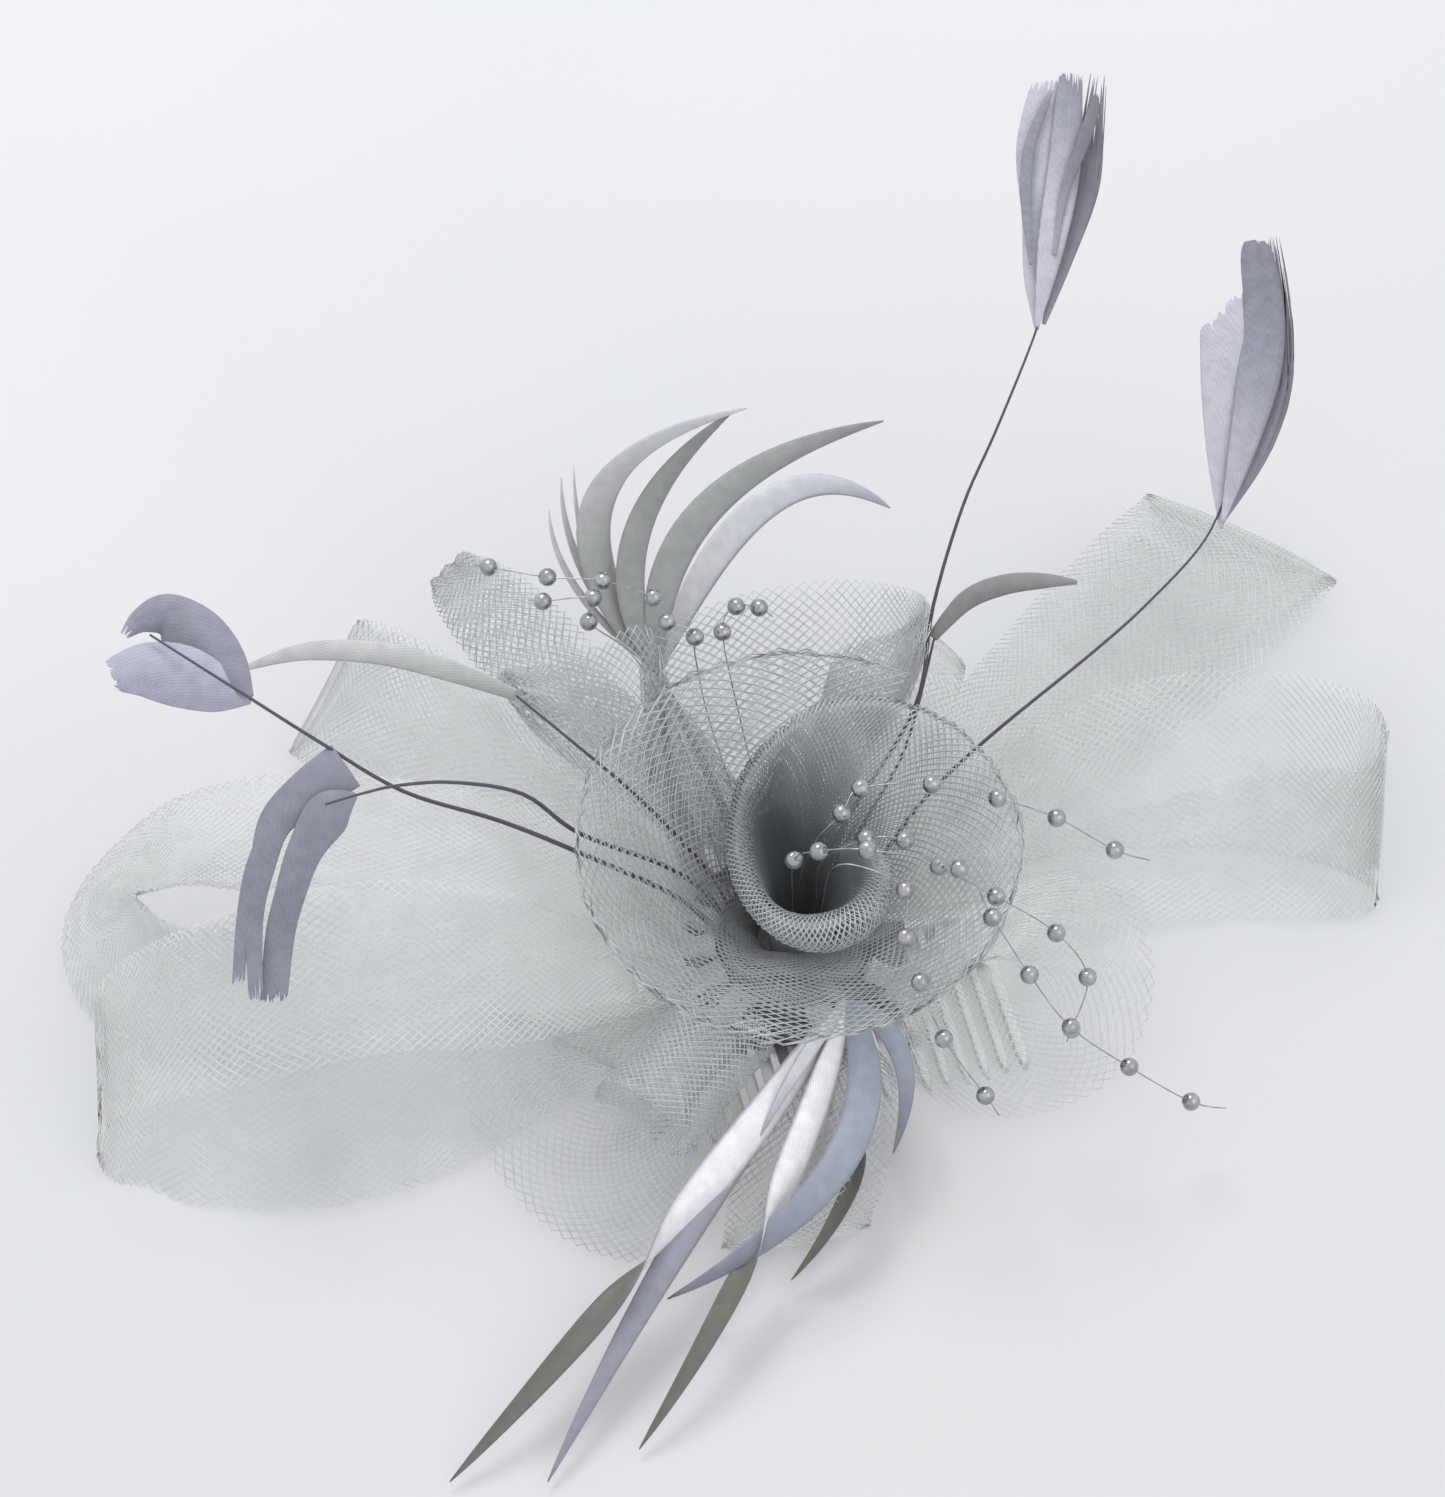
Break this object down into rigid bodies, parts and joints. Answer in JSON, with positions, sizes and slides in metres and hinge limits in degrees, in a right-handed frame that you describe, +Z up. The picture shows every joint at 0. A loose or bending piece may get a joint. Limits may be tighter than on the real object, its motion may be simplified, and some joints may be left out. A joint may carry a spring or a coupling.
{
  "type": "fascinator",
  "caption": "Silver-grey crinoline fascinator on a clear comb: rolled flower, net loops, goose biots, trimmed quills and strings of pearls.",
  "frame": {"origin": "on the resting face of the comb, under the middle of the felt base", "axes": "+Z up off the face it lies on, -Y towards the front of the spray, +X towards its right"},
  "size_m": [0.2918, 0.2865, 0.1085],
  "materials": {
    "net": "glossy nylon crinoline net, light grey",
    "felt": "matte wool felt, light grey",
    "clear": "clear",
    "biot": "goose biots, grey with a soft sheen",
    "vane": "trimmed feather vane, lilac grey",
    "pearl": "silver-grey pearl"
  },
  "bodies": {
    "root": {"comb": "clear", "base_disc": "felt", "flower": "net", "loop_left_front": "net", "loop_left": "net", "loop_left_back": "net", "loop_left_top": "net", "loop_back_left": "net", "loop_back": "net", "loop_back_right": "net", "loop_right_back": "net", "loop_right": "net", "loop_front_right": "net", "loop_front": "net", "loop_front_left": "net", "curl": "net", "biots_back": "biot", "biots_front": "biot", "quill_back": "vane", "quill_right": "vane", "quill_left_back": "vane", "quill_left": "vane", "biot_left": "vane", "biot_right": "vane", "beads_front_a": "pearl", "beads_front_b": "pearl", "beads_front_c": "pearl", "beads_front_d": "pearl", "beads_back_a": "pearl", "beads_back_b": "pearl", "beads_back_c": "pearl"}
  },
  "joints": []
}
